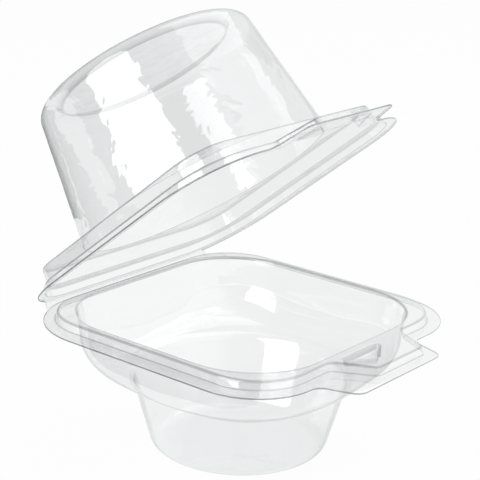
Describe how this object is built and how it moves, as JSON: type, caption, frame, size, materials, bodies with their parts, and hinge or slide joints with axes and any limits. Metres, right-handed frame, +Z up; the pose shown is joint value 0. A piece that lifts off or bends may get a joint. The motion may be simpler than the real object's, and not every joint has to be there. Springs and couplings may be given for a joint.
{
  "type": "hinged clear cupcake box",
  "caption": "Clear thermoformed clamshell box for one cupcake: tapered cup in a rounded-square bowl and rim, and a hinged lid with a tall round dome and offset finger tabs.",
  "frame": {"origin": "centre of the underside of the cup's flat bottom, where the box rests", "axes": "+Z up, X along the fold line at the back, +Y towards the fold line, the finger tabs at -Y"},
  "size_m": [0.0986, 0.1277, 0.1301],
  "materials": {
    "clear_base": "crystal clear thin sheet, glossy on both sides",
    "clear_lid": "crystal clear thin sheet, glossy on both sides"
  },
  "bodies": {
    "base": {"base": "clear_base"},
    "lid": {"lid": "clear_lid"}
  },
  "joints": [
    {"name": "lid_fold", "type": "hinge", "parent": "base", "child": "lid", "pos_m": [0, 0.0487, 0.04025], "axis": [-1, 0, 0], "range_deg": [-38.3, 141.7]}
  ]
}
